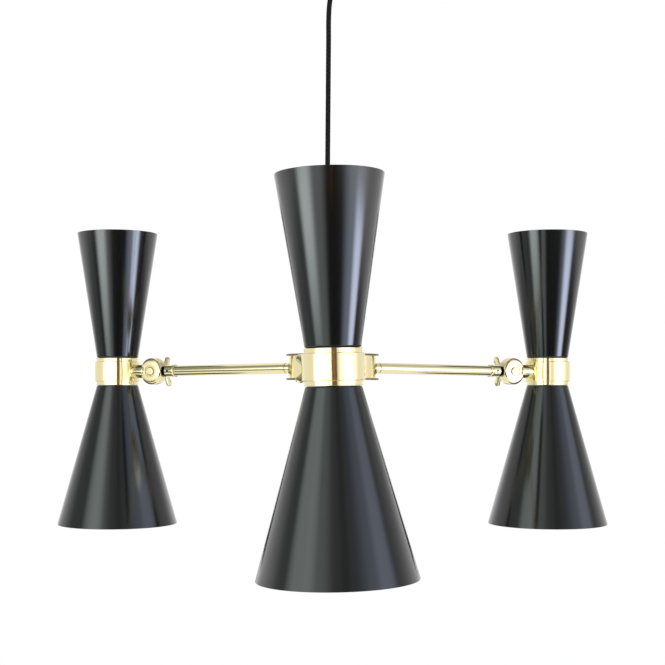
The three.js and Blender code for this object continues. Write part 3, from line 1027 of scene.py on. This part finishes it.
def band(value, low, high, soft):
    """1 between two limits, and smoothly 0 outside them."""
    return value.smooth_step(low - soft, low + soft) * (1 - value.smooth_step(high - soft, high + soft))


def studio_floor():
    """Plain white to the camera and in reflections; a pale matt floor to all other light."""
    shape = bmesh.new()
    bmesh.ops.create_grid(shape, x_segments=1, y_segments=1, size=FLOOR_SIZE / 2)
    made, shader = new_material("floor")
    matt = shader.node("ShaderNodeBsdfDiffuse", sockets={"Color": (0.9, 0.9, 0.9, 1)})
    seen = shader.ray("Camera") + shader.ray("Glossy") + shader.ray("Transmission")
    shader.output(shader.blend(seen, matt, shader.light(WHITE, 1.0)))
    floor = linked_object("floor", shape, made)
    floor.location.z = FLOOR


def studio_world():
    """White all round for the camera; for everything else a room with softboxes left and right."""
    world = bpy.data.worlds.new("studio")
    bpy.context.scene.world = world
    shader = Shader(world)
    x, y, z = shader.axes(shader.node("ShaderNodeTexCoord", output="Generated"))
    # Bearing round the object: 0 behind the camera, positive to its right
    bearing = x.math("ARCTAN2", y * -1) * (360 / TURN)
    rise = z.math("ARCSINE") * (360 / TURN)
    across = bearing.math("ABSOLUTE")
    under = 1 - rise.smooth_step(-7, -3)
    over = rise.smooth_step(4, 12)
    eye_level = 1 - under - over

    left_fill = band(bearing, -46, -14, 10)
    right_fill = band(bearing, 38, 66, 13)
    sides = across.smooth_step(90, 112) * (1 - bearing.smooth_step(80, 100) * 0.4)
    back = across.smooth_step(132, 160)

    # Seen in the upper shades, which lean over to the floor
    flank = across.smooth_step(50, 64) * rise.smooth_step(-86, -40) * (1 - rise.smooth_step(-33, -24))
    left_rim = band(bearing, -104, -70, 8)
    lower = 0.07 + left_rim * 0.25 + left_fill * 0.85 + right_fill * 1.5 + flank * 0.7

    # Seen in the lower shades, which lean back to the roof
    right_box = band(bearing, 62, 88, 8)
    glow = 1.65 - rise.smooth_step(12, 30)
    upper_boxes = left_fill * 0.5 + right_fill * 0.4 + right_box * 0.6
    upper = 0.32 - band(bearing, 6, 18, 6) * 0.12 + upper_boxes * glow
    upper_sides = sides * (0.25 + rise.smooth_step(34, 50) * 0.4)
    roof = 1 - rise.smooth_step(48, 82) * 0.5

    # Seen in the collars and arms
    left_edge = (1 - bearing.smooth_step(-69, -53)) * (1 - across.smooth_step(66, 108))
    beside_flag = bearing.smooth_step(0, 10) * (1 - bearing.smooth_step(18, 38))
    middle = 2.15 - across.smooth_step(56, 108) * 1.22 - left_edge * 0.9 - beside_flag * 1.2

    low_level = (lower + sides * 0.22) * under
    high_level = (upper + upper_sides) * over * roof
    level = low_level + high_level + middle * eye_level + back * 0.25

    low_or_high = under + over
    green = band(bearing, -100, -20, 14) * low_or_high
    blue = band(bearing, 28, 94, 10) * band(rise, -34, 36, 8) * low_or_high
    deep = 1 - rise.smooth_step(-62, -40)
    tint = shader.mix(green, WHITE, GREENISH)
    tint = shader.mix(blue, tint, (0.86, 0.96, 1.18, 1))
    tint = shader.mix(deep, tint, (1, 0.8, 0.36, 1))
    room = shader.node("ShaderNodeBackground", sockets={"Color": tint, "Strength": level})
    white = shader.node("ShaderNodeBackground", sockets={"Color": WHITE, "Strength": 1.0})
    shader.output(shader.blend(shader.ray("Camera"), room, white), owner="World")


def reflected_card(name, middle, half_width, low, high, paint):
    """An upright card that faces the hub and shows in reflections only."""
    along = Vector((-middle.y, middle.x, 0)).normalized()
    centre = middle + UP * (hub_centre.z + (low + high) / 2)
    stretch = Matrix.Diagonal((half_width, (high - low) / 2, 1, 1))
    place = frame_at(centre, along, UP) @ stretch
    shape = bmesh.new()
    bmesh.ops.create_grid(shape, x_segments=1, y_segments=1, size=1, matrix=place)
    made, shader = new_material(name)
    x, y, z = shader.axes(shader.place())
    cover, color, strength = paint(shader, x * along.x + y * along.y, z - hub_centre.z)
    clear = shader.node("ShaderNodeBsdfTransparent")
    shader.output(shader.blend(cover, clear, shader.light(color, strength)))
    card = linked_object(name, shape, made)
    card.visible_camera = card.visible_diffuse = card.visible_shadow = False


def camera_flag(shader, across, up):
    """The dark camera and its flag: brown at eye level, black above and below."""
    eye_level = band(up, -0.03, 0.065, 0.015)
    brown = shader.mix(band(across, 0.03, 0.13, 0.05), (0.14, 0.065, 0.022, 1), (0.46, 0.22, 0.085, 1))
    color = shader.mix(eye_level, (0.06, 0.06, 0.06, 1), brown)
    return band(across, -0.16, 0.32, 0.05), color, 1.0


def left_softbox(shader, across, up):
    """A softbox on the left, so near that each lamp sees it in another direction."""
    below = up.smooth_step(-0.8, -0.1) * (1 - up.smooth_step(-0.05, 0.05))
    above = up.smooth_step(0.1, 0.3) * (1 - up.smooth_step(0.6, 1.5) * 0.6) * 0.3
    cover = band(across, -0.55, 0.55, 0.33) * below + band(across, -0.68, 0.68, 0.4) * above
    return cover, GREENISH, 4.3


def right_softbox(shader, across, up):
    """A narrower and bluish one on the right, below eye level only."""
    height = up.smooth_step(-1.0, -0.5) * (1 - up.smooth_step(-0.1, 0))
    return band(across, -0.47, 0.47, 0.3) * height, (0.86, 0.95, 1.2, 1), 6.6


studio_floor()
studio_world()
flag_spot = Vector((0, -CAMERA_DISTANCE, 0))
left_spot = Vector((-1.74, -1.49, 0))
right_spot = Vector((2.23, -0.96, 0))
reflected_card("camera_flag", flag_spot, half_width=0.37, low=-0.75, high=0.2, paint=camera_flag)
reflected_card("left_softbox", left_spot, half_width=0.9, low=-0.8, high=2.4, paint=left_softbox)
reflected_card("right_softbox", right_spot, half_width=0.8, low=-1.0, high=0.0, paint=right_softbox)
bpy.context.scene.view_settings.view_transform = "Standard"
